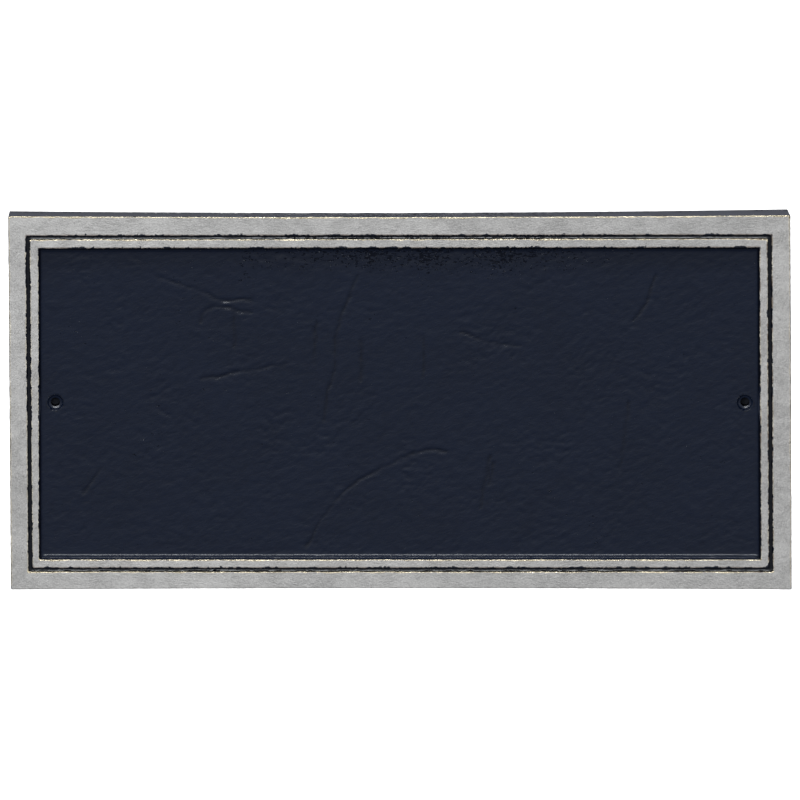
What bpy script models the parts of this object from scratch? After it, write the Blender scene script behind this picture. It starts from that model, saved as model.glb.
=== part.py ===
"""Blank address plaque, cast in one piece: a plate whose front has a wide outer band, a narrow groove,
a slim inner band and a sunk field, with a countersunk screw hole at each end of the field.

Metres, +Z up. The front faces -Y, and the origin is the middle of the flat back, on the wall.
"""

import math
from collections import namedtuple

import bmesh
import bpy

# The front face, and how far it stands off the wall.
FACE_WIDTH = 0.4002
FACE_HEIGHT = 0.1968
THICKNESS = 0.0090

# The front edge is eased by hand.
EDGE_ROUNDING = 0.0005

# The back's outline is a little shorter at its two ends, dips more, lies off the front's middle, and
# stands up by the lift at its top right corner.
END_TAPER = 0.0008
BACK_DIPS = 1.5
BACK_SLIP = (-0.0003, 0.00045)
BACK_LIFT = 0.0005
LIFT_BEND = 4

# The border, from the outer edge inwards, along the long sides.
OUTER_BAND = 0.00995
GROOVE_WIDTH = 0.0020
GROOVE_DEPTH = 0.0014
INNER_BAND = 0.0045
BAND_ROUNDING = 0.0003

# The groove and the field reach further out at the two ends than along the long sides, by this much.
GROOVE_REACH = 0.0006
FIELD_REACH = 0.0010

# The outline lies a little to the right of the middle, the groove and the field a little left and low.
OUTLINE_SLIP = (0.0001, 0.0)
GROOVE_SLIP = (-0.0002, -0.00055)
FIELD_SLIP = (-0.0003, -0.00068)

# The sunk field, and the sloping wall and fillet that lead down to it.
FIELD_DEPTH = 0.0026
WALL_RUN = 0.0002
WALL_FILLET = 0.0026
WALL_SLOPE = 20.0

# The ground outline isn't quite straight: both long edges dip towards their middle.
TOP_DIP = 0.0007
FOOT_DIP = 0.0007

# Going down, both ends run to the right by this much, and all that lies along the top rises to the right.
LEFT_LEAN = 0.0014
RIGHT_LEAN = 0.0007
TOP_RISE = 0.0005

# The field's left end takes only this share of the left lean.
FIELD_LEAN = 0.2

# Corner radii of the outline, of both edges of the groove and of the field.
OUTLINE_CORNER = 0.0008
GROOVE_CORNER = 0.0010
FIELD_CORNER = 0.0009

# The screw holes, on the field's middle line and as far to the left of the plaque's middle as to the right.
# The margin is from the foot of the wall's fillet to the countersink's rim.
SINK_MARGIN = 0.00115
HOLE_RADIUS = 0.0023
SINK_RADIUS = 0.0042
SINK_ANGLE = 82.0

# How finely the outline, the roundings and the holes are divided.
LONG_SIDE_PARTS = 24
SHORT_SIDE_PARTS = 12
CORNER_PARTS = 4
ROUNDING_PARTS = 3
HOLE_PARTS = 32

# How far a cutter stands clear of the faces that it breaks through.
CUTTER_OVERRUN = 0.002
MERGE_DISTANCE = 0.00001

# The two finishes by their place in the casting's list of materials, and each one's colour, roughness
# and metallic value.
NAVY_ENAMEL = 0
SANDED_SILVER = 1
NAVY_LOOK = ((0.015, 0.019, 0.031), 0.35, 0.0)
SILVER_LOOK = ((0.42, 0.42, 0.415), 0.5, 0.8)

# Ways to point in the plate's section, in degrees, turning from inwards to the front.
INWARDS = 0.0
FORWARDS = 90.0
OUTWARDS = 180.0
BACKWARDS = 270.0

# Where the groove, the field and the foot of its wall begin, measured in from the outline.
GROOVE_START = OUTER_BAND
GROOVE_END = GROOVE_START + GROOVE_WIDTH
FIELD_START = GROOVE_END + INNER_BAND
WALL_END = FIELD_START + WALL_RUN + WALL_FILLET

# How far each screw hole lies from the plaque's middle.
HOLE_OFFSET = FACE_WIDTH / 2 + FIELD_REACH - WALL_END - SINK_MARGIN - SINK_RADIUS

# Where the groove's floor and the field lie, measured from the wall.
GROOVE_FLOOR = THICKNESS - GROOVE_DEPTH
FIELD_LEVEL = THICKNESS - FIELD_DEPTH

# What gives a ring of points its form, apart from its inset: its corner radius, its shares of the left
# end's lean and of the long edges' dips, how much further out than its inset it reaches at the two
# ends, its lift at the top right corner, and how far it lies off the plaque's middle.
Form = namedtuple("Form", "corner left_lean dips end_reach lift slip")
BACK_FORM = Form(OUTLINE_CORNER, 1.0, BACK_DIPS, -END_TAPER, BACK_LIFT, BACK_SLIP)
OUTLINE_FORM = Form(OUTLINE_CORNER, 1.0, 1.0, 0.0, 0.0, OUTLINE_SLIP)
GROOVE_FORM = Form(GROOVE_CORNER, 1.0, 0.0, GROOVE_REACH, 0.0, GROOVE_SLIP)
FIELD_FORM = Form(FIELD_CORNER, FIELD_LEAN, 0.0, FIELD_REACH, 0.0, FIELD_SLIP)

# A ring, and the finish of the faces between it and the next ring inwards.
Ring = namedtuple("Ring", "form inset height finish")


def remove_everything():
    for thing in list(bpy.data.objects):
        bpy.data.objects.remove(thing)


def new_collection(name):
    collection = bpy.data.collections.new(name)
    bpy.context.scene.collection.children.link(collection)
    return collection


def new_material(name, colour, roughness, metallic):
    material = bpy.data.materials.new(name)
    material.use_nodes = True
    shader = material.node_tree.nodes["Principled BSDF"]
    shader.inputs["Base Color"].default_value = (*colour, 1.0)
    shader.inputs["Roughness"].default_value = roughness
    shader.inputs["Metallic"].default_value = metallic
    material.diffuse_color = (*colour, 1.0)
    return material


def outline_point(across, up, inset_way, corner_way, form, inset):
    """Where one point of a ring lies. across and up run from -1 to 1 over the sharp-cornered face."""
    lean = LEFT_LEAN * form.left_lean if across < 0 else RIGHT_LEAN
    dip = (TOP_DIP if up > 0 else FOOT_DIP) * form.dips
    x = across * (FACE_WIDTH / 2 + form.end_reach) - abs(across) * up * lean / 2
    z = up * FACE_HEIGHT / 2 - math.copysign(1, up) * dip * (1 - across ** 2)
    z += (TOP_RISE / 2 * across + form.lift * ((1 + across) / 2) ** LIFT_BEND) * (1 + up) / 2
    x += inset_way[0] * inset + corner_way[0] * form.corner + form.slip[0]
    z += inset_way[1] * inset + corner_way[1] * form.corner + form.slip[1]
    return x, z


def outline_ring(form, inset):
    """The (x, z) points of one ring, going left along the top first, as seen from the front."""
    corners = [(1, 1), (-1, 1), (-1, -1), (1, -1)]
    side_parts = [LONG_SIDE_PARTS, SHORT_SIDE_PARTS] * 2
    points = []
    for k, (across, up) in enumerate(corners):
        next_across, next_up = corners[(k + 1) % 4]
        ahead = ((next_across - across) / 2, (next_up - up) / 2)
        inwards = (-ahead[1], ahead[0])
        mitre = (inwards[0] + ahead[0], inwards[1] + ahead[1])
        for part in range(CORNER_PARTS):
            turn = math.pi / 2 * part / CORNER_PARTS
            arc = [mitre[i] - math.cos(turn) * ahead[i] - math.sin(turn) * inwards[i] for i in (0, 1)]
            points.append(outline_point(across, up, mitre, arc, form, inset))
        for part in range(side_parts[k]):
            share = part / side_parts[k]
            # From one mitre to the next, the way inwards swings from one corner's to the other's.
            drift = [ahead[i] * (1 - 2 * share) for i in (0, 1)]
            inset_way = [inwards[i] + drift[i] for i in (0, 1)]
            place = (across + 2 * ahead[0] * share, up + 2 * ahead[1] * share)
            points.append(outline_point(*place, inset_way, drift, form, inset))
    return points


def rounding(form, finish, inset, height, radius, start, end):
    """Rings on an arc about (inset, height), between two ways to point in the section."""
    rings = []
    for part in range(ROUNDING_PARTS + 1):
        angle = math.radians(start + (end - start) * part / ROUNDING_PARTS)
        ring_inset = inset + radius * math.cos(angle)
        rings.append(Ring(form, ring_inset, height + radius * math.sin(angle), finish))
    return rings


def band_edge(form, finish, inset, radius, side):
    """The rounding of one of a band's edges: side is -1 for its outer edge and 1 for its inner one."""
    start, end = (OUTWARDS, FORWARDS) if side < 0 else (FORWARDS, INWARDS)
    return rounding(form, finish, inset - side * radius, THICKNESS - radius, radius, start, end)


def plate_rings():
    """The plate's section, from the back's edge round the front to the field."""
    groove_middle = (GROOVE_START + GROOVE_END) / 2
    rings = [Ring(BACK_FORM, 0.0, 0.0, NAVY_ENAMEL)]
    rings += band_edge(OUTLINE_FORM, SANDED_SILVER, 0.0, EDGE_ROUNDING, -1)
    rings += band_edge(GROOVE_FORM, SANDED_SILVER, GROOVE_START, BAND_ROUNDING, 1)
    rings[-1] = rings[-1]._replace(finish=NAVY_ENAMEL)
    rings.append(Ring(GROOVE_FORM, groove_middle, GROOVE_FLOOR, NAVY_ENAMEL))
    rings += band_edge(GROOVE_FORM, SANDED_SILVER, GROOVE_END, BAND_ROUNDING, -1)
    rings += band_edge(FIELD_FORM, SANDED_SILVER, FIELD_START, BAND_ROUNDING, 1)
    rings[-1] = rings[-1]._replace(finish=NAVY_ENAMEL)
    # The fillet takes over where its slope is the wall's, and ends level with the field.
    fillet_height = FIELD_LEVEL + WALL_FILLET
    fillet_start = OUTWARDS + WALL_SLOPE
    rings += rounding(FIELD_FORM, NAVY_ENAMEL, WALL_END, fillet_height, WALL_FILLET, fillet_start, BACKWARDS)
    return rings


def make_plate_mesh(name):
    """The plate without its holes: a loft through its rings, closed by the back and by the field."""
    shape = bmesh.new()
    rings = plate_rings()
    loops = []
    for ring in rings:
        loops.append([shape.verts.new((x, -ring.height, z)) for x, z in outline_ring(ring.form, ring.inset)])
    for ring, outer, inner in zip(rings, loops, loops[1:]):
        for i in range(len(outer)):
            face = shape.faces.new((outer[i - 1], outer[i], inner[i], inner[i - 1]))
            face.material_index = ring.finish
    shape.faces.new(loops[0])
    shape.faces.new(loops[-1])
    bmesh.ops.recalc_face_normals(shape, faces=shape.faces)
    mesh = bpy.data.meshes.new(name)
    shape.to_mesh(mesh)
    shape.free()
    return mesh


def make_casting(collection):
    mesh = make_plate_mesh("plaque_casting")
    mesh.materials.append(new_material("navy_enamel", *NAVY_LOOK))
    mesh.materials.append(new_material("sanded_silver", *SILVER_LOOK))
    casting = bpy.data.objects.new("plaque_casting", mesh)
    collection.objects.link(casting)
    return casting


def make_hole_cutter(name, x, collection):
    """A turned cutter for one screw hole: a cone open to the front, and a bore right through."""
    spread = math.tan(math.radians(SINK_ANGLE / 2))
    sink_depth = (SINK_RADIUS - HOLE_RADIUS) / spread
    front = FIELD_LEVEL + CUTTER_OVERRUN
    profile = [
        (0.0, front),
        (SINK_RADIUS + spread * CUTTER_OVERRUN, front),
        (HOLE_RADIUS, FIELD_LEVEL - sink_depth),
        (HOLE_RADIUS, -CUTTER_OVERRUN),
        (0.0, -CUTTER_OVERRUN),
    ]
    mesh = bpy.data.meshes.new(name)
    edges = [(i, i + 1) for i in range(len(profile) - 1)]
    mesh.from_pydata([(radius, 0.0, height) for radius, height in profile], edges, [])
    cutter = bpy.data.objects.new(name, mesh)
    cutter.location = (x, 0.0, FIELD_SLIP[1])
    cutter.rotation_euler = (math.pi / 2, 0.0, 0.0)
    cutter.hide_render = True
    cutter.display_type = "WIRE"
    collection.objects.link(cutter)
    turning = cutter.modifiers.new("turning", "SCREW")
    turning.axis = "Z"
    turning.steps = HOLE_PARTS
    turning.render_steps = HOLE_PARTS
    turning.use_merge_vertices = True
    turning.merge_threshold = MERGE_DISTANCE
    turning.use_smooth_shade = False
    return cutter


def drill(casting, cutter):
    cut = casting.modifiers.new(cutter.name, "BOOLEAN")
    cut.operation = "DIFFERENCE"
    cut.solver = "EXACT"
    cut.object = cutter


def main():
    remove_everything()
    parts = new_collection("address_plaque")
    cutters = new_collection("cutters")
    casting = make_casting(parts)
    for name, side in (("left_screw_hole", -1), ("right_screw_hole", 1)):
        drill(casting, make_hole_cutter(name, side * HOLE_OFFSET, cutters))


main()
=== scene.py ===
"""Blank address plaque, one aluminium casting: a glossy navy field sunk inside two sanded silver bands,
with a narrow navy groove between the bands and a countersunk screw hole at each end of the field.

Metres, +Z up. The front faces -Y, and the origin is the middle of the flat back, on the wall.
"""

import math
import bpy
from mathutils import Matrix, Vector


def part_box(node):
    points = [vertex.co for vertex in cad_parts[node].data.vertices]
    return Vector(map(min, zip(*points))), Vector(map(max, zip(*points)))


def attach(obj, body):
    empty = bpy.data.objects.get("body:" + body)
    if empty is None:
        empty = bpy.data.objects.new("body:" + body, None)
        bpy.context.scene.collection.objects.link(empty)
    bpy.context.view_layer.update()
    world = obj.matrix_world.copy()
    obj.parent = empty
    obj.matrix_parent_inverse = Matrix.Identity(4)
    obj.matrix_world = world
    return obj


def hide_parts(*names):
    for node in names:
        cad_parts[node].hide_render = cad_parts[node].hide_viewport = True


bl_info = {
    "name": "Cast address plaque",
    "version": (1, 0, 0),
    "blender": (4, 5, 0),
    "location": "3D View > Sidebar > Plaque",
    "description": "Makes a blank cast address plaque and the studio that it is shown in",
    "category": "Add Mesh",
}

from collections import namedtuple

import bmesh
import bpy
from bpy.props import FloatProperty, FloatVectorProperty, IntProperty, PointerProperty
from mathutils import Matrix, Vector

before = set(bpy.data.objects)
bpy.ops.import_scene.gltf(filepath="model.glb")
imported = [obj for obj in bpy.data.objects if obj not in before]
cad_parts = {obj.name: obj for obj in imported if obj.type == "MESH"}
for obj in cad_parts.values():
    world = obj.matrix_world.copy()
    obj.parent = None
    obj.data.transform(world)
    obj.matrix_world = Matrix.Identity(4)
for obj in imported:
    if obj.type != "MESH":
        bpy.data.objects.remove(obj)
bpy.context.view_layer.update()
CASTING_LOW, CASTING_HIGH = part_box("plaque_casting")

# Going down, both ends run to the right by this much, and all that lies along the top rises to the right.
LEFT_LEAN = 0.0014
RIGHT_LEAN = 0.0007
TOP_RISE = 0.0005

# The field's left end takes only this share of the left lean.
FIELD_LEAN = 0.2

# The ground outline isn't quite straight: both long edges dip towards their middle.
TOP_DIP = 0.0007
FOOT_DIP = 0.0007

# The back's outline is a little shorter at its two ends, dips more, lies off the front's middle, and
# stands up by the lift at its top right corner.
END_TAPER = 0.0008
BACK_DIPS = 1.5
BACK_SLIP = (-0.0003, 0.00045)
BACK_LIFT = 0.0005
LIFT_BEND = 4

# The groove and the field reach further out at the two ends than along the long sides, by this much.
GROOVE_REACH = 0.0006
FIELD_REACH = 0.0010

# The outline lies a little to the right of the middle, the groove and the field a little left and low.
OUTLINE_SLIP = (0.0001, 0.0)
GROOVE_SLIP = (-0.0002, -0.00055)
FIELD_SLIP = (-0.0003, -0.00068)

# The back's edge is eased a little.
BACK_ROUNDING = 0.0002

# Corner radii of the outline, of both edges of the groove and of the field.
OUTLINE_CORNER = 0.0008
GROOVE_CORNER = 0.0010
FIELD_CORNER = 0.0009

# The wall round the field: how far it runs inwards, its fillet, and its slope in degrees.
WALL_RUN = 0.0002
WALL_FILLET = 0.0026
WALL_SLOPE = 20.0

# How far from the foot of the wall the field's leathery skin begins.
SKIN_MARGIN = 0.0009

# How far from a band's rounded edges its flat is whole.
BAND_MARGIN = 0.0002

# How finely the casting is divided: along its sides, round its corners and round its arrises.
LONG_SIDE_PARTS = 350
SHORT_SIDE_PARTS = 152
CORNER_PARTS = 4
ARRIS_PARTS = 3
SIDE_PARTS = 2
FILLET_PARTS = 6
HOLE_PARTS = 64
SHARP_ANGLE = 40.0

# The finishes, as the faces' attribute numbers them.
ENAMEL = 0
SILVER = 1
BARE_BACK = 2

# The groove's channel: shares of the way across it, and shares of its depth there.
GROOVE_PROFILE = [(0.06, 0.45), (0.14, 0.79), (0.40, 0.94), (0.54, 0.97), (0.68, 0.94), (0.90, 0.82),
                  (0.95, 0.45)]

# Ways to point in the plate's section, in degrees, turning from inwards to the front.
INWARDS = 0.0
FORWARDS = 90.0
OUTWARDS = 180.0
BACKWARDS = 270.0

# How steeply the folds of the field's skin rise to the right.
FLOW_ANGLE = math.radians(20)

# Long creases in the cast skin of the field, as x and z in millimetres from its middle.
CREASES = [
    [(-22, 66), (-28, 50), (-33, 34), (-33, 19), (-37, 5), (-39, -10)],
    [(-48, -76), (-33, -52), (-23, -43), (-7, -34), (3, -29), (11, -26), (23, -26)],
    [(46, -29), (41, -56)],
    [(48, -32), (45, -44)],
    [(-125, 66), (-107, 60), (-92, 54), (-76, 53)],
    [(-102, 42), (-101, 47), (-76, 47)],
    [(-102, 12), (-74, 17), (-59, 20)],
    [(131, 66), (126, 52), (120, 42)],
    [(117, 0), (113, -34)],
    [(-153, -35), (-162, -48)],
    [(31, 36), (48, 31), (62, 29)],
    [(-20, 32), (-20, 11)],
    [(12, 34), (12, 13)],
    [(-85, 47), (-85, 29)],
    [(-43, 42), (-44, 20)],
]
MILLIMETRE = 0.001

# Enamel has pooled in the countersinks: how wide a ring it makes round the bore, how steep that is, and
# what share of the depth it begins at. Its brim and its bend are given by shares of its width and depth.
POOL_WIDTH = 0.00095
POOL_SLOPE = math.radians(17)
POOL_TOP = 0.74
POOL_BRIM = (1.35, 0.60)
POOL_BEND = 0.8

# A countersink's mouth is eased by this much, and its cutter runs this far past the plate.
MOUTH_EASING = 0.00006
CUTTER_OVERRUN = 0.002

# Where the runs and blisters of enamel under the top wall begin and are at their strongest: going up, from
# the left and from the right.
RUNS = [(0.0600, 0.0745), (-0.105, -0.060), (0.165, 0.060)]
BLISTERS = [(0.0600, 0.0765), (-0.115, -0.040), (0.165, 0.050)]

# Likewise the painted shade under the top wall, going up, and the brown traces, going right.
TOP_SHADE_RISE = (0.064, 0.078)
TRACES_RISE = (0.175, 0.185)

# How far to each side, and up and down, the mist of enamel on the back begins.
MIST_FROM = (0.19, 0.09)

# How bright the room is, by elevation in degrees: 0 in front, 90 overhead, 180 behind the wall.
ROOM = [(-90, 0.10), (-40, 0.10), (-13, 0.28), (5, 0.58), (30, 0.30), (50, 0.20), (70, 0.50), (90, 0.85),
        (110, 0.95), (135, 0.85), (165, 0.25), (200, 0.10)]


def length(name, description, default):
    return FloatProperty(name=name, description=description, default=default, precision=5, unit="LENGTH")


def share(name, description, default):
    return FloatProperty(name=name, description=description, default=default, min=0.0, max=1.0)


def colour(name, description, default):
    return FloatVectorProperty(name=name, description=description, default=default, subtype="COLOR")


def own_properties(group):
    """A property group's own properties, without those that every group has."""
    return [item for item in group.bl_rna.properties if item.identifier not in ("rna_type", "name")]


class PlaqueSizes(bpy.types.PropertyGroup):
    """The casting's own sizes."""

    face_width: length("Face width", "Width of the front face", round(
        CASTING_HIGH.x - CASTING_LOW.x - (LEFT_LEAN + RIGHT_LEAN) / 2, 5))
    face_height: length("Face height", "Height of the front face", -2 * CASTING_LOW.z)
    thickness: length("Thickness", "From the wall to the front", CASTING_HIGH.y - CASTING_LOW.y)
    edge_rounding: length("Edge rounding", "Radius of the eased front edge", 0.0005)
    outer_band: length("Outer band", "Width of the outer silver band", 0.00995)
    groove_width: length("Groove width", "Width of the navy groove", 0.0020)
    groove_depth: length("Groove depth", "Depth of the navy groove", 0.0014)
    inner_band: length("Inner band", "Width of the inner silver band", 0.0045)
    band_rounding: length("Band rounding", "Radius of the bands' other edges", 0.0003)
    field_depth: length("Field depth", "How far the field lies below the bands", 0.0026)
    hole_radius: length("Hole radius", "Radius of a screw hole", 0.0023)
    sink_radius: length("Countersink radius", "Radius of a countersink at the field", 0.0042)
    sink_angle: FloatProperty(name="Countersink angle", description="Full angle of a countersink",
                              default=math.radians(82), subtype="ANGLE")
    hole_spacing: length("Hole spacing", "Between the two screw holes", 0.3530)


class SkinSizes(bpy.types.PropertyGroup):
    """How rough the casting's skin and edges are."""

    edge_wobble: length("Edge wobble", "How far the hand-ground edges wander", 0.00030)
    wobble_length: length("Wobble length", "Length of one such wander", 0.0085)
    band_wave: length("Band wave", "How uneven the sanded bands are", 0.00005)
    leather_height: length("Leather height", "Height of the field's leathery bumps", 0.00022)
    leather_length: length("Leather length", "Length of one leathery bump", 0.0030)
    wrinkle_depth: length("Wrinkle depth", "Depth of the field's fine wrinkles", 0.00018)
    crease_depth: length("Crease depth", "Depth of the field's long creases", 0.00020)
    crease_width: length("Crease width", "Width of the field's long creases", 0.00085)
    sag_height: length("Sag height", "Height of the runs of enamel under the top wall", 0.00010)
    seed: IntProperty(name="Seed", description="Which random skin is made", default=7, min=0)


class PlaqueLooks(bpy.types.PropertyGroup):
    """The colours of the two finishes and of the bare back."""

    enamel: colour("Enamel", "Navy of the field", (0.0064, 0.0128, 0.0352))
    # This darker navy is also painted shade, under the top wall and below the bands' arrises that face down.
    enamel_thick_and_shade: colour("Thick enamel", "Navy where the enamel lies thick", (0.0035, 0.0078, 0.0235))
    # This near black is the blisters' colour, and also painted shade in the creases, the groove, the foot of
    # the walls and the bores.
    blister_and_shade: colour("Blister", "The small dark blisters of the enamel", (0.0016, 0.0024, 0.0062))
    enamel_sheen: colour("Enamel sheen", "Tint of what the enamel mirrors", (0.92, 0.96, 1.00))
    enamel_roughness: share("Enamel roughness", "Roughness of the glossy enamel", 0.17)
    silver: colour("Silver", "Sanded aluminium of the bands", (0.845, 0.845, 0.84))
    silver_dull: colour("Dull silver", "Duller patches of the bands", (0.54, 0.54, 0.54))
    silver_metallic: share("Silver metallic", "How metallic the bands are", 0.25)
    silver_roughness: share("Silver roughness", "Roughness of the bands", 0.55)
    # This cream is a painted highlight, laid only on the arrises that face up.
    arris: colour("Arris", "Polished metal of the bands' arrises", (0.97, 0.87, 0.64))
    arris_width: length("Arris width", "Width of the polished arrises", 0.00050)
    paint_reach: length("Paint reach", "How far paint still reaches over the groove's edges", 0.00055)
    # Besides the traces, this brown is painted shade under the arrises that face down.
    tarnish_and_shade: colour("Tarnish", "Brown traces along the groove's right edge", (0.20, 0.13, 0.09))
    bare_back: colour("Bare back", "As-cast aluminium of the back", (0.33, 0.33, 0.32))


class StudioSettings(bpy.types.PropertyGroup):
    """The camera and the lights."""

    camera_elevation: FloatProperty(name="Camera elevation", description="How far the camera looks down",
                                    default=math.radians(13.2), subtype="ANGLE")
    frame_width: length("Frame width", "Width of what the camera takes in", 0.4096)
    front_power: FloatProperty(name="Front power", description="Power of the softbox in front", default=17.0)
    top_power: FloatProperty(name="Top power", description="Power of the strip overhead", default=24.0)
    lamp_power: FloatProperty(name="Lamp power", description="Power of the small lamp in front", default=0.04)
    back_power: FloatProperty(name="Back power", description="Power of the light on the back", default=10.0)
    surround: FloatProperty(name="Surround", description="Brightness of the room round it", default=1.0)


# What gives a ring of points its form, apart from its inset: its corner radius, its shares of the left
# end's lean and of the long edges' dips, how much further out than its inset it reaches at the two
# ends, its lift at the top right corner, and how far it lies off the plaque's middle.
Form = namedtuple("Form", "corner left_lean dips end_reach lift slip")
BACK_FORM = Form(OUTLINE_CORNER, 1.0, BACK_DIPS, -END_TAPER, BACK_LIFT, BACK_SLIP)
OUTLINE_FORM = Form(OUTLINE_CORNER, 1.0, 1.0, 0.0, 0.0, OUTLINE_SLIP)
GROOVE_FORM = Form(GROOVE_CORNER, 1.0, 0.0, GROOVE_REACH, 0.0, GROOVE_SLIP)
FIELD_FORM = Form(FIELD_CORNER, FIELD_LEAN, 0.0, FIELD_REACH, 0.0, FIELD_SLIP)
GRID_FORM = FIELD_FORM._replace(corner=0.0)

# A ring, the finish of the faces between it and the next ring inwards, how far its edge wanders and how
# much of the field's leathery skin it has, both as shares.
Ring = namedtuple("Ring", "form inset height finish wander skin")


def outline_point(sizes, across, up, inset_way, corner_way, form, inset):
    """Where one point of a ring lies. across and up run from -1 to 1 over the sharp-cornered face."""
    lean = LEFT_LEAN * form.left_lean if across < 0 else RIGHT_LEAN
    dip = (TOP_DIP if up > 0 else FOOT_DIP) * form.dips
    x = across * (sizes.face_width / 2 + form.end_reach) - abs(across) * up * lean / 2
    z = up * sizes.face_height / 2 - math.copysign(1, up) * dip * (1 - across ** 2)
    z += (TOP_RISE / 2 * across + form.lift * ((1 + across) / 2) ** LIFT_BEND) * (1 + up) / 2
    x += inset_way[0] * inset + corner_way[0] * form.corner + form.slip[0]
    z += inset_way[1] * inset + corner_way[1] * form.corner + form.slip[1]
    return x, z


def outline_ring(sizes, form, inset):
    """The points of one ring, going left along the top first, as seen from the front.

    Each is its x and z, the way inwards there, and its column and row in the grid of the field.
    """
    corners = [(1, 1), (-1, 1), (-1, -1), (1, -1)]
    side_parts = [LONG_SIDE_PARTS, SHORT_SIDE_PARTS] * 2
    points = []
    for k, (across, up) in enumerate(corners):
        next_across, next_up = corners[(k + 1) % 4]
        ahead = ((next_across - across) / 2, (next_up - up) / 2)
        inwards = (-ahead[1], ahead[0])
        mitre = (inwards[0] + ahead[0], inwards[1] + ahead[1])
        for part in range(CORNER_PARTS):
            turn = math.pi / 2 * part / CORNER_PARTS
            arc = [mitre[i] - math.cos(turn) * ahead[i] - math.sin(turn) * inwards[i] for i in (0, 1)]
            place = outline_point(sizes, across, up, mitre, arc, form, inset)
            points.append((place, mitre, grid_place(across, up)))
        for part in range(side_parts[k]):
            along = part / side_parts[k]
            # From one mitre to the next, the way inwards swings from one corner's to the other's.
            drift = [ahead[i] * (1 - 2 * along) for i in (0, 1)]
            inset_way = [inwards[i] + drift[i] for i in (0, 1)]
            spot = (across + 2 * ahead[0] * along, up + 2 * ahead[1] * along)
            place = outline_point(sizes, *spot, inset_way, drift, form, inset)
            points.append((place, inwards, grid_place(*spot)))
    return points


def grid_place(across, up):
    return round((across + 1) / 2 * LONG_SIDE_PARTS), round((up + 1) / 2 * SHORT_SIDE_PARTS)


def form_between(first, last, share):
    """A form part of the way from one to another."""
    slip = [a + (b - a) * share for a, b in zip(first.slip, last.slip)]
    return Form(*(a + (b - a) * share for a, b in zip(first[:-1], last[:-1])), slip)


def band_rings(first, last, start, end, height):
    """Rings on a flat band. Two of them, close to its edges, keep the roundings' shading off it."""
    return [
        Ring(first, start + BAND_MARGIN, height, SILVER, 0.8, 0.0),
        Ring(form_between(first, last, 0.5), (start + end) / 2, height, SILVER, 0.0, 0.0),
        Ring(last, end - BAND_MARGIN, height, SILVER, 0.8, 0.0),
    ]


def arc_rings(form, finish, inset, height, radius, start, end, parts, wander):
    """Rings on an arc about (inset, height), between two ways to point in the section."""
    rings = []
    for part in range(parts + 1):
        angle = math.radians(start + (end - start) * part / parts)
        ring_inset = inset + radius * math.cos(angle)
        rings.append(Ring(form, ring_inset, height + radius * math.sin(angle), finish, wander, 0.0))
    return rings


def arris_rings(sizes, form, finish, inset, radius, side, wander):
    """The rounding of one of a band's edges: side is -1 for its outer edge and 1 for its inner one."""
    start, end = (OUTWARDS, FORWARDS) if side < 0 else (FORWARDS, INWARDS)
    height = sizes.thickness - radius
    return arc_rings(form, finish, inset - side * radius, height, radius, start, end, ARRIS_PARTS, wander)


def side_rings(sizes):
    """The plate's outer side, from the back's eased edge to the front arris."""
    rings = []
    for part in range(SIDE_PARTS + 1):
        rise = part / SIDE_PARTS
        height = BACK_ROUNDING + (sizes.thickness - sizes.edge_rounding - BACK_ROUNDING) * rise
        form = form_between(BACK_FORM, OUTLINE_FORM, rise)
        rings.append(Ring(form, 0.0, height, ENAMEL, 0.3 + 0.3 * rise, 0.25))
    easing = BACK_ROUNDING
    back_edge = arc_rings(BACK_FORM, ENAMEL, easing, easing, easing, BACKWARDS, OUTWARDS, ARRIS_PARTS, 0.3)
    return back_edge[:-1] + rings[:-1]


def groove_rings(sizes, start, end):
    """The groove's channel between its two arrises: steep banks, and a floor that rises to both sides."""
    rings = []
    for across, deep in GROOVE_PROFILE:
        height = sizes.thickness - sizes.band_rounding - (sizes.groove_depth - sizes.band_rounding) * deep
        rings.append(Ring(GROOVE_FORM, start + (end - start) * across, height, ENAMEL, 1.0, 0.3))
    return rings


def casting_rings(sizes):
    """The plate's section, from the back's edge round the front to the grid of the field."""
    groove_start = sizes.outer_band
    groove_end = groove_start + sizes.groove_width
    field_start = groove_end + sizes.inner_band
    field_level = sizes.thickness - sizes.field_depth
    wall_end = field_start + WALL_RUN + WALL_FILLET
    front = sizes.thickness
    rounding = sizes.band_rounding

    rings = side_rings(sizes)
    rings += arris_rings(sizes, OUTLINE_FORM, ENAMEL, 0.0, sizes.edge_rounding, -1, 0.6)
    rings[-2] = rings[-2]._replace(finish=SILVER)
    rings[-1] = rings[-1]._replace(finish=SILVER)
    rings += band_rings(OUTLINE_FORM, GROOVE_FORM, sizes.edge_rounding, groove_start - rounding, front)
    rings += arris_rings(sizes, GROOVE_FORM, SILVER, groove_start, rounding, 1, 1.0)
    rings[-1] = rings[-1]._replace(finish=ENAMEL)
    rings += groove_rings(sizes, groove_start, groove_end)
    rings += arris_rings(sizes, GROOVE_FORM, SILVER, groove_end, rounding, -1, 1.3)
    rings += band_rings(GROOVE_FORM, FIELD_FORM, groove_end + rounding, field_start - rounding, front)
    rings += arris_rings(sizes, FIELD_FORM, SILVER, field_start, rounding, 1, 0.9)
    rings[-1] = rings[-1]._replace(finish=ENAMEL)
    # The fillet takes over where its slope is the wall's.
    rings += arc_rings(FIELD_FORM, ENAMEL, wall_end, field_level + WALL_FILLET, WALL_FILLET,
                       OUTWARDS + WALL_SLOPE, BACKWARDS, FILLET_PARTS, 0.7)
    rings.append(Ring(GRID_FORM, wall_end + SKIN_MARGIN, field_level, ENAMEL, 0.0, 1.0))
    return rings


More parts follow.
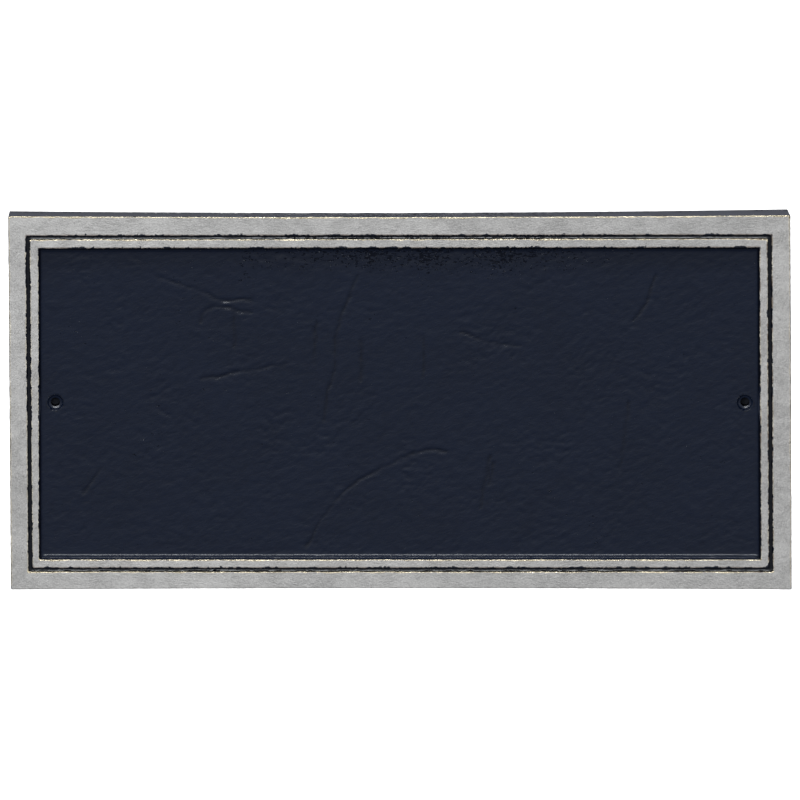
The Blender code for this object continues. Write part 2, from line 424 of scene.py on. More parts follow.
class Loft:
    """Gathers the casting's points and faces, and what each of them carries."""

    def __init__(self):
        self.points = []
        self.ways = []
        self.insets = []
        self.wanders = []
        self.skins = []
        self.faces = []
        self.finishes = []

    def add_point(self, x, height, z, way, inset, wander, skin):
        self.points.append((x, -height, z))
        self.ways.append((way[0], 0.0, way[1]))
        self.insets.append(inset)
        self.wanders.append(wander)
        self.skins.append(skin)
        return len(self.points) - 1

    def add_face(self, corners, finish):
        # A face at the grid's corner loses the points that fall together there.
        kept = [corner for i, corner in enumerate(corners) if corner != corners[i - 1]]
        if len(kept) > 2:
            self.faces.append(kept)
            self.finishes.append(finish)

    def add_ring(self, sizes, ring):
        loop = []
        for (x, z), way, _ in outline_ring(sizes, ring.form, ring.inset):
            loop.append(self.add_point(x, ring.height, z, way, ring.inset, ring.wander, ring.skin))
        return loop

    def add_field(self, sizes, ring):
        """The grid of the field, and the points of its border in the order of a ring."""
        border = outline_ring(sizes, ring.form, ring.inset)
        edge = {spot: place for place, _, spot in border}
        grid = {}
        for column in range(LONG_SIDE_PARTS + 1):
            (foot_x, foot_z), (top_x, top_z) = edge[column, 0], edge[column, SHORT_SIDE_PARTS]
            for row in range(SHORT_SIDE_PARTS + 1):
                up = row / SHORT_SIDE_PARTS
                x = foot_x + (top_x - foot_x) * up
                z = foot_z + (top_z - foot_z) * up
                grid[column, row] = self.add_point(x, ring.height, z, (0.0, 0.0), ring.inset, 0.0, 1.0)
        for column in range(LONG_SIDE_PARTS):
            for row in range(SHORT_SIDE_PARTS):
                corners = [(0, 0), (1, 0), (1, 1), (0, 1)]
                self.add_face([grid[column + i, row + j] for i, j in corners], ENAMEL)
        return [grid[spot] for _, _, spot in border]

    def join(self, outer, inner, finish):
        for i in range(len(outer)):
            self.add_face([outer[i - 1], outer[i], inner[i], inner[i - 1]], finish)

    def mesh(self, name):
        mesh = bpy.data.meshes.new(name)
        mesh.from_pydata(self.points, [], self.faces)
        carried = [
            ("inwards", "FLOAT_VECTOR", "vector", [part for way in self.ways for part in way]),
            ("inset", "FLOAT", "value", self.insets),
            ("wander", "FLOAT", "value", self.wanders),
            ("skin", "FLOAT", "value", self.skins),
        ]
        for attribute, kind, field, values in carried:
            mesh.attributes.new(attribute, kind, "POINT").data.foreach_set(field, values)
        mesh.attributes.new("finish", "INT", "FACE").data.foreach_set("value", self.finishes)
        return mesh


def casting_mesh(sizes):
    """The plate without its holes: a loft through its rings, the grid of the field and the flat back."""
    loft = Loft()
    rings = casting_rings(sizes)
    loops = [loft.add_ring(sizes, ring) for ring in rings[:-1]]
    loops.append(loft.add_field(sizes, rings[-1]))
    for ring, outer, inner in zip(rings, loops, loops[1:]):
        loft.join(outer, inner, ring.finish)
    loft.add_face(list(reversed(loops[0])), BARE_BACK)
    return loft.mesh("casting_blank")


def operators(operation):
    """Two methods for one sign: for a socket to its left, and for a socket to its right."""
    return (lambda self, other: self.combine(operation, self, other),
            lambda self, other: self.combine(operation, other, self))


class Socket:
    """One output of a node. Sums and products of outputs, written in Python, add the nodes for them."""

    def __init__(self, maker, socket):
        self.maker = maker
        self.socket = socket

    def combine(self, operation, first, second):
        if self.socket.type not in ("VECTOR", "RGBA"):
            return self.maker.node("ShaderNodeMath", {"operation": operation}, {0: first, 1: second})
        if operation == "MULTIPLY" and not isinstance(second, (tuple, Vector)):
            return self.maker.node("ShaderNodeVectorMath", {"operation": "SCALE"}, {0: first, 3: second})
        return self.maker.node("ShaderNodeVectorMath", {"operation": operation}, {0: first, 1: second})

    __add__, __radd__ = operators("ADD")
    __sub__, __rsub__ = operators("SUBTRACT")
    __truediv__, __rtruediv__ = operators("DIVIDE")
    __pow__, __rpow__ = operators("POWER")
    __gt__, __lt__ = operators("GREATER_THAN")
    __mul__ = __rmul__ = operators("MULTIPLY")[0]
    least = operators("MINIMUM")[0]
    most = operators("MAXIMUM")[0]

    def __abs__(self):
        return self.combine("ABSOLUTE", self, 0.0)

    def step(self, low, high):
        """0 below low and 1 above high, with a smooth rise between them, or the reverse if low > high."""
        inputs = {"Value": self, "From Min": low, "From Max": high}
        return self.maker.node("ShaderNodeMapRange", {"interpolation_type": "SMOOTHSTEP"}, inputs)


class NodeMaker:
    """Adds nodes to one tree and lays them out in rows."""

    COLUMN_STEP = 220
    ROW_STEP = 260
    ROWS = 8

    def __init__(self, tree):
        self.tree = tree

    def node(self, kind, settings=None, inputs=None, output=0):
        """One node, its settings first and then the values or links of its sockets."""
        column, row = divmod(len(self.tree.nodes), self.ROWS)
        made = self.tree.nodes.new(kind)
        made.location = (column * self.COLUMN_STEP, -row * self.ROW_STEP)
        for name, value in (settings or {}).items():
            setattr(made, name, value)
        for key, value in (inputs or {}).items():
            if isinstance(value, Socket):
                self.tree.links.new(value.socket, made.inputs[key])
            elif made.inputs[key].type == "RGBA":
                made.inputs[key].default_value = (*value, 1.0)
            else:
                made.inputs[key].default_value = value
        return Socket(self, made.outputs[output]) if made.outputs else made

    def noise(self, place, size, detail=2.0, roughness=0.5, distortion=0.0, w=0.0):
        """Noise from 0 to 1 about one half, with lumps of a size in metres."""
        inputs = {"Vector": place, "W": w, "Scale": 1.0 / size, "Detail": detail, "Roughness": roughness,
                  "Distortion": distortion}
        return self.node("ShaderNodeTexNoise", {"noise_dimensions": "4D"}, inputs, "Fac")

    def attribute(self, name, vector=False):
        """What the mesh carries under a name, in a shader tree or in a geometry tree."""
        if isinstance(self.tree, bpy.types.GeometryNodeTree):
            kind = "FLOAT_VECTOR" if vector else "FLOAT"
            return self.node("GeometryNodeInputNamedAttribute", {"data_type": kind}, {"Name": name})
        output = "Vector" if vector else "Fac"
        return self.node("ShaderNodeAttribute", {"attribute_name": name}, output=output)

    def part(self, vector, axis):
        """The x, y or z of a vector."""
        return self.node("ShaderNodeSeparateXYZ", {}, {0: vector}, axis)

    def mix(self, factor, first, second):
        """A colour between two."""
        inputs = {0: factor, 6: first, 7: second}
        return self.node("ShaderNodeMix", {"data_type": "RGBA"}, inputs, 2)

    def bump(self, height, distance, normal=None, strength=1.0):
        inputs = {"Height": height, "Distance": distance, "Strength": strength}
        if normal is not None:
            inputs["Normal"] = normal
        return self.node("ShaderNodeBump", {}, inputs)


def tree_inputs(tree, wanted):
    """Adds a geometry tree's named inputs, and returns the identifier of each by its name."""
    found = {}
    for name, kind in wanted:
        item = tree.interface.new_socket(name=name, in_out="INPUT", socket_type=kind)
        found[name] = item.identifier
    tree.interface.new_socket(name="Geometry", in_out="OUTPUT", socket_type="NodeSocketGeometry")
    return found


def skin_tree(settings):
    """The geometry tree that gives the blank its wandering edges, its leathery skin and its finishes."""
    tree = bpy.data.node_groups.new("cast_skin", "GeometryNodeTree")
    wanted = [("Geometry", "NodeSocketGeometry"), ("Crease paths", "NodeSocketObject")]
    wanted += [(name, "NodeSocketFloat") for name in settings]
    wanted += [(name, "NodeSocketMaterial") for name in ("Enamel", "Silver", "Bare back")]
    identifiers = tree_inputs(tree, wanted)
    make = NodeMaker(tree)
    group_input = tree.nodes.new("NodeGroupInput")
    given = {item.name: Socket(make, item) for item in group_input.outputs if item.name}

    place = make.node("GeometryNodeInputPosition")
    x = make.part(place, "X")
    z = make.part(place, "Z")
    inwards = make.attribute("inwards", vector=True)
    inset = make.attribute("inset")
    wander = make.attribute("wander")
    skin = make.attribute("skin")
    seed = given["Seed"]

    # The hand-ground edges wander in and out, each in its own way, and now and then a nick is deeper.
    slow = make.noise(place, given["Wobble length"], 2.0, w=seed + inset * 350.0) - 0.5
    quick = make.noise(place, given["Wobble length"] * 0.22, 1.0, w=seed + 3.0 + inset * 700.0) - 0.5
    nick = make.noise(place, given["Wobble length"] * 0.35, 1.0, w=seed + 9.0 + inset * 500.0).step(0.68, 0.8)
    ways = (slow * 1.7 + quick * 1.7 + nick * 1.2) * given["Edge wobble"] * wander
    sideways = inwards * ways

    # The sanded bands and the sides are a little uneven.
    wave = (make.noise(place, 0.011, 2.0, w=seed + 5.0) - 0.5) * 2.0 * given["Band wave"]

    # The field's leathery folds are drawn out along a flow that rises to the right, and swerves a little.
    swerve = make.node("ShaderNodeTexNoise", {}, {"Vector": place, "Scale": 28.0, "Detail": 1.0}, "Color")
    flow = make.node("ShaderNodeVectorRotate", {"rotation_type": "Y_AXIS"},
                     {"Vector": place + (swerve - (0.5, 0.5, 0.5)) * 0.030, "Angle": FLOW_ANGLE})
    drawn = flow * (0.58, 1.0, 1.0)
    leather = make.noise(drawn, given["Leather length"], 3.0, 0.55, 0.3, seed + 20.0) - 0.5
    broad = make.noise(place, 0.022, 2.0, w=seed + 24.0)
    fold = abs(make.noise(drawn, given["Leather length"] * 1.5, 2.0, 0.5, 0.5, seed + 28.0) - 0.5)
    wrinkle = fold.step(0.045, 0.0) * broad.step(0.40, 0.75)
    relief = leather * 2.0 * given["Leather height"] * (0.7 + broad * 0.6)
    relief = relief - wrinkle * given["Wrinkle depth"]

    # The long creases follow their paths, shaken a little, and come and go along them.
    shaken = make.node("ShaderNodeTexNoise", {}, {"Vector": place, "Scale": 140.0, "Detail": 2.0}, "Color")
    nearby = place + (shaken - (0.5, 0.5, 0.5)) * 0.0035
    paths = make.node("GeometryNodeObjectInfo", {}, {"Object": given["Crease paths"]}, "Geometry")
    edges = make.node("GeometryNodeCurveToMesh", {}, {"Curve": paths})
    inputs = {"Geometry": edges, "Sample Position": nearby}
    gap = make.node("GeometryNodeProximity", {"target_element": "EDGES"}, inputs, "Distance")
    valley = math.e ** (0.0 - (gap / given["Crease width"]) ** 2.0)
    lip = math.e ** (0.0 - (gap / given["Crease width"] / 2.6) ** 2.0)
    strength = 0.45 + make.noise(place, 0.02, 1.0, w=seed + 33.0).step(0.3, 0.6) * 0.55
    relief = relief - (valley - lip * 0.3) * given["Crease depth"] * strength
    # This marks the hollows of creases and wrinkles; the enamel darkens them as painted shade.
    hollow = (valley * strength).most(wrinkle * 0.15) * skin

    # Runs of enamel hang under the top wall, over the middle of the field.
    going_up, from_left, from_right = RUNS
    under_top = z.step(*going_up)
    in_middle = x.step(*from_left) * x.step(*from_right)
    drops = make.noise(place * (1.0, 1.0, 0.7), 0.0034, 3.0, 0.6, 1.0, seed + 40.0)
    sag = (drops.step(0.40, 0.60) - 0.5) * under_top * in_middle
    relief = relief + sag * given["Sag height"]

    outwards = wave * (1.0 - skin) + relief * skin
    along_y = make.node("ShaderNodeCombineXYZ", {}, {"Y": 0.0 - outwards})
    inputs = {"Geometry": given["Geometry"], "Name": "hollow", "Value": hollow}
    shape = make.node("GeometryNodeStoreNamedAttribute", {"data_type": "FLOAT", "domain": "POINT"}, inputs)
    shape = make.node("GeometryNodeSetPosition", {}, {"Geometry": shape, "Offset": sideways + along_y})

    shape = make.node("GeometryNodeRealizeInstances", {}, {0: shape})
    finish = make.attribute("finish")
    for number, name in ((ENAMEL, "Enamel"), (SILVER, "Silver"), (BARE_BACK, "Bare back")):
        chosen = make.node("ShaderNodeMath", {"operation": "COMPARE"}, {0: finish, 1: float(number), 2: 0.1})
        inputs = {"Geometry": shape, "Selection": chosen, "Material": given[name]}
        shape = make.node("GeometryNodeSetMaterial", {}, inputs)
    output = tree.nodes.new("NodeGroupOutput")
    tree.links.new(shape.socket, output.inputs[0])
    return tree, identifiers


def crease_paths(field_front):
    """One curve object that holds the smooth path of every long crease."""
    curve = bpy.data.curves.new("crease_paths", "CURVE")
    curve.dimensions = "3D"
    for path in CREASES:
        spline = curve.splines.new("BEZIER")
        spline.bezier_points.add(len(path) - 1)
        for point, (x, z) in zip(spline.bezier_points, path):
            point.co = (x * MILLIMETRE, -field_front, z * MILLIMETRE)
            point.handle_left_type = "AUTO"
            point.handle_right_type = "AUTO"
    paths = bpy.data.objects.new("crease_paths", curve)
    bpy.context.scene.collection.objects.link(paths)
    return paths


def new_material(name):
    """An empty node material, and the maker of its nodes."""
    material = bpy.data.materials.new(name)
    material.use_nodes = True
    material.node_tree.nodes.clear()
    return material, NodeMaker(material.node_tree)


def close_material(make, shader):
    output = make.tree.nodes.new("ShaderNodeOutputMaterial")
    make.tree.links.new(shader.socket, output.inputs["Surface"])


def enamel_material(looks, sizes):
    """Glossy navy enamel over the cast skin, blistered under the top wall, with painted shade in its creases,
    its groove, the foot of its walls and its bores.
    """
    material, make = new_material("navy_enamel")
    place = make.node("ShaderNodeTexCoord", {}, {}, "Object")
    x = make.part(place, "X")
    z = make.part(place, "Z")
    cloud = make.noise(place, 0.035, 3.0, w=2.0)
    flow = make.node("ShaderNodeVectorRotate", {"rotation_type": "Y_AXIS"},
                     {"Vector": place, "Angle": FLOW_ANGLE})
    leather = make.noise(flow * (0.45, 1.0, 1.0), 0.0019, 3.0, 0.55, 0.6, 4.0)
    fine = make.noise(place, 0.0006, 2.0, w=6.0)
    # Darker at random and where the leathery skin dips, and darker under the top wall: the last is painted
    # shade.
    thick_and_top_shade = cloud.step(0.35, 0.68) * 0.3 + leather.step(0.60, 0.30) * 0.4 + z.step(*TOP_SHADE_RISE) * 0.8

    # Small blisters and runs lie close together under the top wall, and a few stray ones lower down.
    crowd = make.noise(place * (1.0, 1.0, 0.5), 0.016, 2.0, 0.5, 0.0, 21.0)
    going_up, from_left, from_right = BLISTERS
    band = z.step(*going_up) * x.step(*from_left) * x.step(*from_right)
    crowding = (crowd - 0.62) * 0.9 + band * 0.42
    spots = make.noise(place * (0.55, 1.0, 1.0), 0.0011, 1.0, 0.5, 1.0, 23.0)
    # The blisters show as near-black matt spots: partly their own marks, partly painted shade in their pits.
    blister_and_shade = (spots + crowding * 0.5).step(0.71, 0.76)
    # Painted shade darkens the creases and wrinkles.
    hollow = make.attribute("hollow")
    colour_here = make.mix(thick_and_top_shade.least(1.0), looks.enamel, looks.enamel_thick_and_shade)
    colour_here = make.mix(hollow * 0.5, colour_here, looks.blister_and_shade)

    # Painted shade darkens the groove, the foot of the field's wall along its top and its two ends, and the
    # bores of the screw holes.
    inset = make.attribute("inset")
    inwards = make.attribute("inwards", vector=True)
    groove_end = sizes.outer_band + sizes.groove_width
    field_start = groove_end + sizes.inner_band
    # Painted shade: the groove's enamel is darkened towards near black.
    groove_shade = (inset > sizes.outer_band / 2) * (inset < groove_end + sizes.band_rounding)
    colour_here = make.mix(groove_shade * 0.85, colour_here, looks.blister_and_shade)
    sheltered = abs(make.part(inwards, "X")).most(make.part(inwards, "Z") * -1.0)
    foot = inset.step(field_start + 0.0015, field_start + 0.0006)
    foot = foot * (inset > field_start - sizes.band_rounding)
    painted_shade = foot * sheltered * (0.55 + cloud * 0.6).least(1.0)
    from_hole = (abs(x) - sizes.hole_spacing / 2) ** 2.0 + (z - FIELD_SLIP[1]) ** 2.0
    painted_shade = painted_shade.most(from_hole < (sizes.hole_radius * 1.02) ** 2)
    pooled = from_hole < sizes.sink_radius ** 2

    roughness = looks.enamel_roughness + (fine - 0.5) * 0.10 + (cloud - 0.5) * 0.08 - pooled * 0.10
    peel = make.bump(fine * (1.0 + pooled * 2.0), 0.00003)
    normal = make.bump(leather, 0.00013, peel)
    normal = make.bump(1.0 - blister_and_shade - hollow, 0.00014, normal)
    inputs = {"Base Color": colour_here, "Roughness": roughness, "Normal": normal, "IOR": 1.5,
              "Specular Tint": looks.enamel_sheen}
    glossy = make.node("ShaderNodeBsdfPrincipled", {}, inputs)
    # A dark matt finish for the blisters and for the painted shade.
    inputs = {"Base Color": looks.blister_and_shade, "Roughness": 0.9, "Specular IOR Level": 0.1}
    matt_blister_and_shade = make.node("ShaderNodeBsdfPrincipled", {}, inputs)
    matt = (blister_and_shade * 0.7).most(painted_shade)
    close_material(make, make.node("ShaderNodeMixShader", {}, {0: matt, 1: glossy, 2: matt_blister_and_shade}))
    return material


def silver_material(looks, sizes):
    """Sanded aluminium: grainy and scratched along each bar, with shinier arrises that take a painted
    highlight where they face up, paint left in nicks, painted shade below the arrises that face down, and
    painted shade towards the right.
    """
    material, make = new_material("sanded_silver")
    place = make.node("ShaderNodeTexCoord", {}, {}, "Object")
    inwards = make.attribute("inwards", vector=True)
    end_bar = abs(make.part(inwards, "X"))
    x = make.part(place, "X")
    along_x = make.noise(place * (0.42, 1.0, 1.0), 0.00085, 3.0, 0.7, 0.4, 1.0)
    along_z = make.noise(place * (1.0, 1.0, 0.42), 0.00085, 3.0, 0.7, 0.4, 1.5)
    scratch = along_x * (1.0 - end_bar) + along_z * end_bar
    grain = make.noise(place * (0.7, 1.0, 0.7), 0.00045, 2.0, 0.6, 0.0, 3.0)
    patch = make.noise(place, 0.010, 3.0, 0.55, 0.0, 5.0)
    broad = make.noise(place, 0.060, 2.0, 0.5, 0.0, 6.0)
    pits = make.noise(place, 0.0008, 1.0, 0.5, 0.0, 8.0).step(0.73, 0.80)
    worn = patch.step(0.35, 0.65)
    dull_and_shade = 0.5 + (scratch - 0.5) * 0.9 + (grain - 0.5) * 1.2 + (patch - 0.5) * 0.4 + (broad - 0.5) * 0.7
    # Painted shade: the bands grow darker towards the right.
    dull_and_shade = dull_and_shade + x * (0.7 - 0.55 * end_bar)
    base = make.mix(dull_and_shade.step(0.0, 1.0), looks.silver, looks.silver_dull)
    base = make.mix(pits * 0.45, base, (0.16, 0.16, 0.16))

    # How far the next arris is, and whether it faces up (1), sideways (0) or down (-1).
    inset = make.attribute("inset")
    groove_end = sizes.outer_band + sizes.groove_width
    middle = groove_end + sizes.inner_band / 2
    near = abs(inset - sizes.outer_band).least(abs(inset - groove_end))
    near = near.least(abs(inset - groove_end - sizes.inner_band))
    far = near.least(inset - sizes.edge_rounding * 0.6)
    outer_edge = (inset < sizes.outer_band / 2).most((inset > groove_end - 0.0001) * (inset < middle))
    faces_up = make.part(inwards, "Z") * (1.0 - 2.0 * outer_edge)

    # The arrises are shinier from sanding, and those that face up take a cream painted highlight. Paint is
    # left in nicks on the edges; below the arrises that face down its dark colour is partly painted shade.
    wide = looks.arris_width * (0.6 + make.noise(place, 0.009, 3.0, 0.55, 0.0, 16.0).step(0.35, 0.70) * 1.1)
    arris = far.step(wide * 1.3, wide * 0.6)
    shine_and_highlight = arris * faces_up.step(-0.5, 0.6)
    # The reach grows on the arrises that face down: that share is painted shade.
    reach = looks.paint_reach * (1.0 - 0.92 * faces_up)
    nicks = make.noise(place, 0.0036, 3.0, 0.65, 0.0, 14.0).step(0.45, 0.66) * 0.9
    nicks = nicks + make.noise(place, 0.0011, 2.0, 0.6, 0.0, 15.0).step(0.50, 0.75) * 0.5
    painted = (near - nicks * reach).step(0.00004, 0.0)
    base = make.mix(shine_and_highlight, base, looks.arris)
    metallic = looks.silver_metallic + shine_and_highlight * (0.9 - looks.silver_metallic)
    roughness = looks.silver_roughness + (grain - 0.5) * 0.25 - shine_and_highlight * 0.3

    # Brown traces lie along the groove's right end. The thin brown under the arrises that face down is
    # painted shade.
    along_groove = x.step(*TRACES_RISE) * make.noise(place, 0.004, 3.0, 0.6, 0.0, 12.0).step(0.46, 0.56)
    stained = near.step(0.0008, 0.0002) * along_groove
    under = near.step(looks.arris_width * 1.6, looks.arris_width * 0.8) * faces_up.step(-0.3, -0.9)
    base = make.mix((stained * 0.8).most(under * 0.6), base, looks.tarnish_and_shade)
    base = make.mix(painted, base, looks.enamel_thick_and_shade)

    scratched = make.bump(scratch * (0.4 + worn), 0.00058)
    normal = make.bump(grain - pits * 0.7, 0.00026, scratched)
    metallic = metallic * (1.0 - painted)
    inputs = {"Base Color": base, "Metallic": metallic, "Roughness": roughness, "Normal": normal}
    close_material(make, make.node("ShaderNodeBsdfPrincipled", {}, inputs))
    return material


def back_material(looks):
    """As-cast aluminium of the back: grainy, with a mist of navy that drifted in from the edges."""
    material, make = new_material("bare_cast_back")
    place = make.node("ShaderNodeTexCoord", {}, {}, "Object")
    grain = make.noise(place, 0.0007, 3.0, 0.6, 0.0, 3.0)
    patch = make.noise(place, 0.02, 3.0, 0.55, 0.0, 7.0)
    pits = make.noise(place, 0.0012, 1.0, 0.5, 0.0, 9.0).step(0.70, 0.78)
    x = abs(make.part(place, "X")) - MIST_FROM[0]
    z = abs(make.part(place, "Z")) - MIST_FROM[1]
    from_edge = x.most(z) + (patch - 0.5) * 0.03
    mist = from_edge.step(-0.016, 0.006) * (0.55 + grain * 0.45)
    light_metal = tuple(part * 1.25 for part in looks.bare_back)
    metal = make.mix(patch.step(0.35, 0.65), looks.bare_back, light_metal)
    base = make.mix(mist.most(pits * 0.5), metal, looks.enamel)
    roughness = 0.55 + (grain - 0.5) * 0.3
    normal = make.bump(grain - pits * 0.7 + patch, 0.00018, strength=0.8)
    metallic = 0.85 - mist * 0.8
    inputs = {"Base Color": base, "Metallic": metallic, "Roughness": roughness, "Normal": normal}
    close_material(make, make.node("ShaderNodeBsdfPrincipled", {}, inputs))
    return material


def hole_cutter(sizes, x, material):
    """A turned cutter for one screw hole: an eased mouth, a countersink pooled with enamel, and the bore."""
    spread = math.tan(sizes.sink_angle / 2)
    sink_depth = (sizes.sink_radius - sizes.hole_radius) / spread
    level = sizes.thickness - sizes.field_depth
    pool_height = level - sink_depth * POOL_TOP
    pool_drop = POOL_WIDTH * math.tan(POOL_SLOPE)
    profile = [
        (0.0, level + CUTTER_OVERRUN),
        (sizes.sink_radius + 4 * CUTTER_OVERRUN, level + CUTTER_OVERRUN),
        (sizes.sink_radius + MOUTH_EASING, level),
        (sizes.sink_radius - MOUTH_EASING, level - MOUTH_EASING),
        (sizes.hole_radius + POOL_WIDTH * POOL_BRIM[0], level - sink_depth * POOL_BRIM[1]),
        (sizes.hole_radius + POOL_WIDTH, pool_height),
        (sizes.hole_radius + POOL_WIDTH * POOL_BEND, pool_height - pool_drop * (1 - POOL_BEND)),
        (sizes.hole_radius, pool_height - pool_drop),
        (sizes.hole_radius, -CUTTER_OVERRUN),
        (0.0, -CUTTER_OVERRUN),
    ]
    mesh = bpy.data.meshes.new("hole_cutter")
    edges = [(i, i + 1) for i in range(len(profile) - 1)]
    mesh.from_pydata([(radius, 0.0, height) for radius, height in profile], edges, [])
    mesh.materials.append(material)
    cutter = bpy.data.objects.new("hole_cutter", mesh)
    cutter.location = (x, 0.0, FIELD_SLIP[1])
    cutter.rotation_euler = (math.pi / 2, 0.0, 0.0)
    bpy.context.scene.collection.objects.link(cutter)
    turning = cutter.modifiers.new("turning", "SCREW")
    turning.steps = turning.render_steps = HOLE_PARTS
    turning.use_merge_vertices = True
    turning.merge_threshold = 0.00001
    turning.use_smooth_shade = True
    return cutter


def finish_mesh(name, shaped):
    """The evaluated mesh of a shaped object, as a plain object of its own."""
    bpy.context.view_layer.update()
    evaluated = shaped.evaluated_get(bpy.context.evaluated_depsgraph_get())
    mesh = bpy.data.meshes.new_from_object(evaluated)
    mesh.name = name
    mesh.shade_smooth()
    mesh.set_sharp_from_angle(angle=math.radians(SHARP_ANGLE))
    piece = bpy.data.objects.new(name, mesh)
    bpy.context.scene.collection.objects.link(piece)
    return piece


class PLAQUE_OT_casting(bpy.types.Operator):
    """Make the plaque's casting: its bands, groove and field, its cast skin and its screw holes"""

    bl_idname = "plaque.casting"
    bl_label = "Cast plaque"

    def execute(self, context):
        sizes = context.scene.plaque_sizes
        looks = context.scene.plaque_looks
        enamel = enamel_material(looks, sizes)
        paths = crease_paths(sizes.thickness - sizes.field_depth)
        blank = bpy.data.objects.new("casting_blank", casting_mesh(sizes))
        context.scene.collection.objects.link(blank)

        skin = context.scene.plaque_skin
        settings = {item.name: float(getattr(skin, item.identifier)) for item in own_properties(skin)}
        tree, identifiers = skin_tree(settings)
        values = {
            **settings,
            "Crease paths": paths,
            "Enamel": enamel,
            "Silver": silver_material(looks, sizes),
            "Bare back": back_material(looks),
        }
        skinning = blank.modifiers.new("cast_skin", "NODES")
        skinning.node_group = tree
        for name, value in values.items():
            skinning[identifiers[name]] = value

        cutters = [hole_cutter(sizes, side * sizes.hole_spacing / 2, enamel) for side in (-1, 1)]
        for cutter in cutters:
            drilling = blank.modifiers.new("drilling", "BOOLEAN")
            drilling.operation = "DIFFERENCE"
            drilling.solver = "EXACT"
            drilling.material_mode = "TRANSFER"
            drilling.object = cutter

        plaque = finish_mesh("cast_plaque", blank)
        for used in [blank, paths, *cutters]:
            bpy.data.objects.remove(used)
        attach(plaque, "root")
        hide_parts("plaque_casting")
        return {"FINISHED"}


def soft_light(name, power, size, azimuth, elevation, distance):
    """A white area light that faces the plaque. Azimuth 0 is straight in front, and 90 to the right."""
    light = bpy.data.lights.new(name, "AREA")
    light.shape = "RECTANGLE"
    light.size, light.size_y = size
    light.energy = power
    turn = math.radians(azimuth)
    rise = math.radians(elevation)
    way = Vector((math.sin(turn) * math.cos(rise), -math.cos(turn) * math.cos(rise), math.sin(rise)))
    lamp = bpy.data.objects.new(name, light)
    lamp.location = way * distance
    lamp.rotation_euler = way.to_track_quat("Z", "Y").to_euler()
    bpy.context.scene.collection.objects.link(lamp)


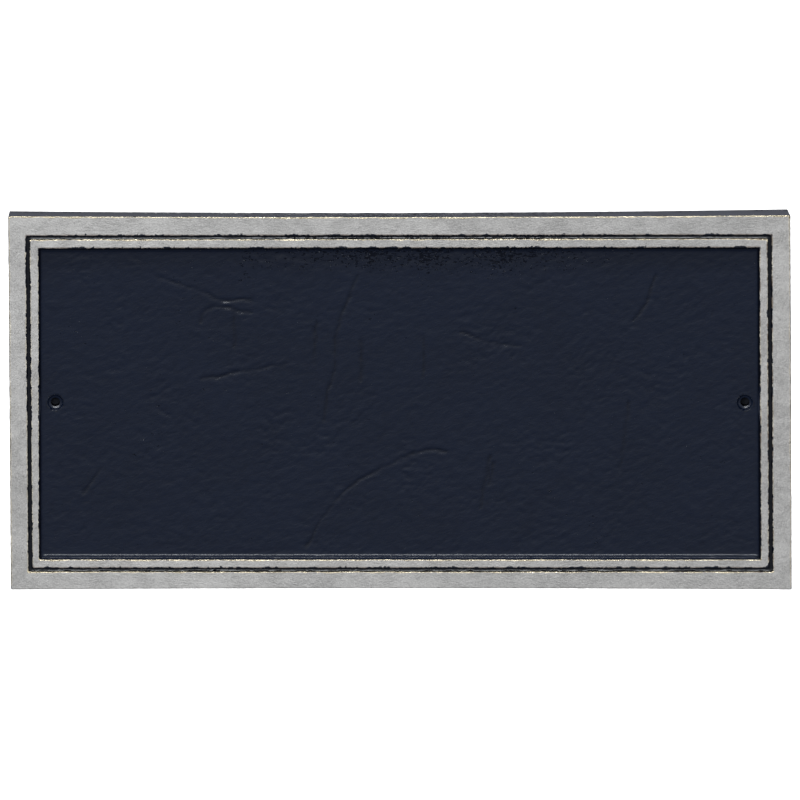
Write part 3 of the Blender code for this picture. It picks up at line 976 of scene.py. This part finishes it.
class PLAQUE_OT_studio(bpy.types.Operator):
    """Set up the pale floor, the soft lights and the camera"""

    bl_idname = "plaque.studio"
    bl_label = "Studio"

    FLOOR_DROP = 1.3
    FLOOR_HALF = 25.0
    WALL_CLEARANCE = 0.0001
    WALL_MARGIN = 0.0004
    CAMERA_DISTANCE = 2.0
    AIM = Vector((-0.00005, -0.0090, 0.00137))

    def execute(self, context):
        studio = context.scene.plaque_studio
        self.floor()
        self.shaded_wall(context.scene.plaque_sizes)
        self.room(context.scene, studio.surround)
        soft_light("front_softbox", studio.front_power, (1.6, 0.45), -10.0, 20.0, 2.2)
        soft_light("overhead_strip", studio.top_power, (2.4, 0.25), 0.0, 92.0, 1.8)
        soft_light("small_lamp", studio.lamp_power, (0.02, 0.02), 4.0, 39.0, 0.52)
        soft_light("back_light", studio.back_power, (1.2, 1.2), 180.0, -12.0, 2.0)
        self.camera(context.scene, studio)
        context.scene.view_settings.view_transform = "Standard"
        return {"FINISHED"}

    def floor(self):
        half, drop = self.FLOOR_HALF, self.FLOOR_DROP
        corners = [(x * half, y * half, -drop) for x, y in ((-1, -1), (1, -1), (1, 1), (-1, 1))]
        mesh = bpy.data.meshes.new("studio_floor")
        mesh.from_pydata(corners, [], [(0, 1, 2, 3)])
        material, make = new_material("pale_floor")
        inputs = {"Base Color": (0.9, 0.9, 0.9), "Roughness": 0.9,
                  "Emission Color": (1.0, 1.0, 1.0), "Emission Strength": 1.0}
        close_material(make, make.node("ShaderNodeBsdfPrincipled", {}, inputs))
        mesh.materials.append(material)
        floor = bpy.data.objects.new("studio_floor", mesh)
        bpy.context.scene.collection.objects.link(floor)
        floor.visible_diffuse = False
        floor.visible_glossy = False

    def shaded_wall(self, sizes):
        """Dark discs just behind each screw hole, as painted shade: they stand for the wall there in deep
        shade.
        """
        material, make = new_material("shaded_wall")
        place = make.node("ShaderNodeTexCoord", {}, {}, "Object")
        shade = make.mix(make.noise(place, 0.0015), (0.004, 0.006, 0.012), (0.010, 0.013, 0.022))
        inputs = {"Base Color": shade, "Roughness": 0.9}
        close_material(make, make.node("ShaderNodeBsdfPrincipled", {}, inputs))
        radius = sizes.hole_radius + self.WALL_MARGIN
        for side in (-1, 1):
            shape = bmesh.new()
            bmesh.ops.create_circle(shape, cap_ends=True, segments=HOLE_PARTS, radius=radius)
            bmesh.ops.rotate(shape, verts=shape.verts, matrix=Matrix.Rotation(math.pi / 2, 3, "X"))
            middle = Vector((side * sizes.hole_spacing / 2, self.WALL_CLEARANCE, FIELD_SLIP[1]))
            bmesh.ops.translate(shape, verts=shape.verts, vec=middle)
            mesh = bpy.data.meshes.new("shaded_wall")
            shape.to_mesh(mesh)
            shape.free()
            mesh.materials.append(material)
            wall = bpy.data.objects.new("shaded_wall", mesh)
            bpy.context.scene.collection.objects.link(wall)

    def room(self, scene, brightness):
        """A white room to the camera. What the plaque reflects of it is as bright as ROOM says."""
        world = bpy.data.worlds.new("studio_room")
        world.use_nodes = True
        world.node_tree.nodes.clear()
        make = NodeMaker(world.node_tree)
        way = make.node("ShaderNodeTexCoord", {}, {}, "Generated")
        inputs = {0: make.part(way, "Z"), 1: 0.0 - make.part(way, "Y")}
        rise = make.node("ShaderNodeMath", {"operation": "ARCTAN2"}, inputs)
        # From -90 degrees, straight down, over the front, the top and the back to 270.
        inputs = {0: rise / math.tau + 0.25, 1: 1.0}
        turned = make.node("ShaderNodeMath", {"operation": "FLOORED_MODULO"}, inputs)
        ramp = make.tree.nodes.new("ShaderNodeValToRGB")
        make.tree.links.new(turned.socket, ramp.inputs[0])
        stops = ramp.color_ramp.elements
        while len(stops) < len(ROOM):
            stops.new(1.0)
        for stop, (elevation, value) in zip(stops, ROOM):
            stop.position = (elevation + 90.0) / 360.0
            stop.color = (value, value, value, 1.0)
        reflected = brightness * make.part(Socket(make, ramp.outputs[0]), "X")
        seen = make.node("ShaderNodeLightPath", {}, {}, "Is Camera Ray")
        strength = seen + (1.0 - seen) * reflected
        inputs = {"Color": (1.0, 1.0, 1.0), "Strength": strength}
        background = make.node("ShaderNodeBackground", {}, inputs)
        output = world.node_tree.nodes.new("ShaderNodeOutputWorld")
        world.node_tree.links.new(background.socket, output.inputs["Surface"])
        scene.world = world

    def camera(self, scene, studio):
        camera = bpy.data.cameras.new("photo_camera")
        camera.type = "ORTHO"
        camera.ortho_scale = studio.frame_width
        rise = studio.camera_elevation
        way = Vector((0.0, -math.cos(rise), math.sin(rise)))
        viewer = bpy.data.objects.new("photo_camera", camera)
        viewer.location = self.AIM + way * self.CAMERA_DISTANCE
        viewer.rotation_euler = way.to_track_quat("Z", "Y").to_euler()
        scene.collection.objects.link(viewer)
        scene.camera = viewer


class PLAQUE_PT_panel(bpy.types.Panel):
    """The plaque's sizes, looks and steps"""

    bl_label = "Cast plaque"
    bl_idname = "PLAQUE_PT_panel"
    bl_space_type = "VIEW_3D"
    bl_region_type = "UI"
    bl_category = "Plaque"

    def draw(self, context):
        for group in GROUPS:
            box = self.layout.box()
            settings = getattr(context.scene, group)
            for item in own_properties(settings):
                box.prop(settings, item.identifier)
        for step in STEPS:
            self.layout.operator(f"plaque.{step}")


GROUPS = {
    "plaque_sizes": PlaqueSizes,
    "plaque_skin": SkinSizes,
    "plaque_looks": PlaqueLooks,
    "plaque_studio": StudioSettings,
}
STEPS = ("casting", "studio")
CLASSES = (*GROUPS.values(), PLAQUE_OT_casting, PLAQUE_OT_studio, PLAQUE_PT_panel)


def register():
    for kind in CLASSES:
        bpy.utils.register_class(kind)
    for name, group in GROUPS.items():
        setattr(bpy.types.Scene, name, PointerProperty(type=group))


def unregister():
    for name in GROUPS:
        delattr(bpy.types.Scene, name)
    for kind in reversed(CLASSES):
        bpy.utils.unregister_class(kind)


def main():
    register()
    for step in STEPS:
        getattr(bpy.ops.plaque, step)()


if __name__ == "__main__":
    main()
